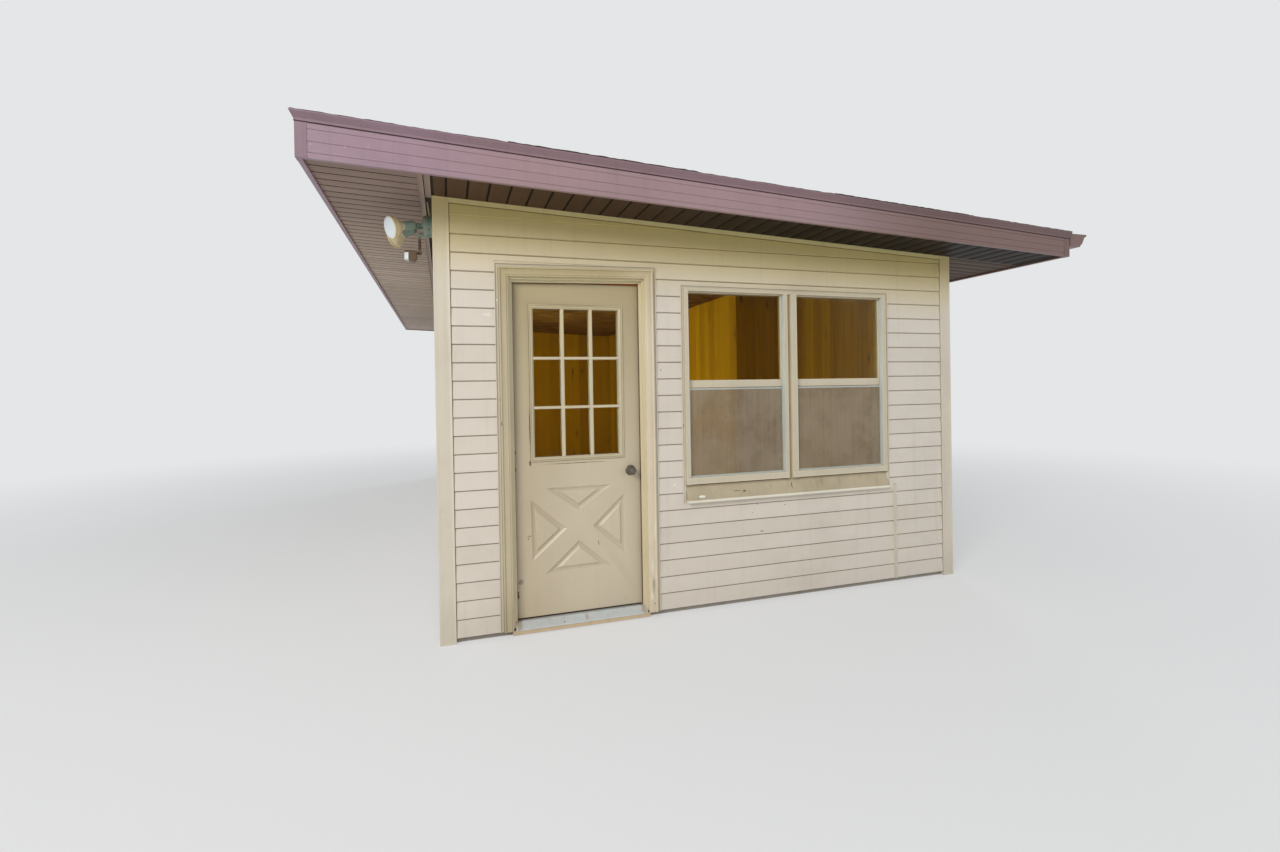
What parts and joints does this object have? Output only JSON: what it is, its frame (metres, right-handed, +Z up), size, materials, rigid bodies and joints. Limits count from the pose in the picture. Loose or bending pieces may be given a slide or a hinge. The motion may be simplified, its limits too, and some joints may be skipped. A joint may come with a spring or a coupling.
{
  "type": "boathouse",
  "caption": "One-room lakeside boathouse with lap siding, a low single-pitch roof with deep eaves, a panelled door, twin windows and a swivelling floodlight.",
  "frame": {"origin": "middle of the whole object's base, on the ground", "axes": "+Z up, +X right along the front wall, away from the water, +Y from the front into the building"},
  "size_m": [5.223, 8.14, 2.7872],
  "materials": {
    "concrete": "rough concrete",
    "siding": "weathered satin beige lap siding",
    "trim": "satin cream trim",
    "pine_boards": "varnished knotty boards",
    "roof_wood": "boards",
    "roofing": "mineral roofing felt",
    "brown_metal": "faded brown aluminium",
    "soffit": "grooved brown aluminium",
    "painted_wood": "painted wood",
    "sill_wood": "worn wood",
    "threshold": "mill aluminium",
    "door_paint": "satin painted steel",
    "glass": "clear",
    "knob_metal": "tarnished",
    "hinge_metal": "dull",
    "screen": "insect mesh",
    "light_box": "weathered grey-green",
    "lamp": "sealed beam",
    "sensor": "brown plastic",
    "cable": "aged plastic sheath"
  },
  "bodies": {
    "building": {"floor_slab": "concrete", "front_wall_left": "siding", "front_wall_over_door": "siding", "front_wall_pier": "siding", "front_wall_over_window": "siding", "front_wall_under_window": "siding", "front_wall_right": "siding", "lake_wall_front": "siding", "lake_wall_over_window": "siding", "lake_wall_under_window": "siding", "lake_wall_back": "siding", "hill_wall": "siding", "back_wall": "siding", "corner_posts": "trim", "frieze": "trim", "trim_channels": "trim", "window_frames": "trim", "window_sashes": "trim", "window_sills": "trim", "store_wall": "pine_boards", "roof_deck": "roof_wood", "roofing": "roofing", "roof_edge": "brown_metal", "rake_fascias": "brown_metal", "eave_fascias": "brown_metal", "gutter": "brown_metal", "rake_soffits": "soffit", "eave_soffits": "soffit", "soffit_channels": "soffit", "door_frame": "painted_wood", "door_casing": "painted_wood", "door_sill": "sill_wood", "door_threshold": "threshold", "window_glass": "glass", "frame_hinges": "hinge_metal", "window_screens": "screen", "light_bracket": "light_box", "light_cable": "cable"},
    "door": {"door_leaf": "door_paint", "door_lite_frame": "door_paint", "door_glass": "glass", "door_roses": "knob_metal", "leaf_hinges": "hinge_metal"},
    "knob": {"door_knob": "knob_metal"},
    "front_lamp_head": {"front_lamp": "lamp"},
    "rear_lamp_head": {"rear_lamp": "lamp"},
    "sensor_head": {"motion_sensor": "sensor"}
  },
  "joints": [
    {"name": "door_swing", "type": "hinge", "parent": "building", "child": "door", "pos_m": [-1.5665, -3.5635, 1], "axis": [0, 0, 1], "range_deg": [0, 100]},
    {"name": "knob_turn", "type": "hinge", "parent": "door", "child": "knob", "pos_m": [-0.834, -3.615, 0.927], "axis": [0, 1, 0], "range_deg": [-60, 60], "stiffness_Nm_per_rad": 0.3},
    {"name": "front_lamp_tilt", "type": "hinge", "parent": "building", "child": "front_lamp_head", "pos_m": [-2.0735, -3.54, 2.413], "axis": [0.5, -0.866, 0], "range_deg": [-25, 20]},
    {"name": "rear_lamp_tilt", "type": "hinge", "parent": "building", "child": "rear_lamp_head", "pos_m": [-2.0735, -3.48, 2.413], "axis": [-0.4384, -0.8988, 0], "range_deg": [-25, 20]},
    {"name": "sensor_swivel", "type": "hinge", "parent": "building", "child": "sensor_head", "pos_m": [-2.0665, -3.51, 2.262], "axis": [0, 0, 1], "range_deg": [-45, 45]}
  ]
}
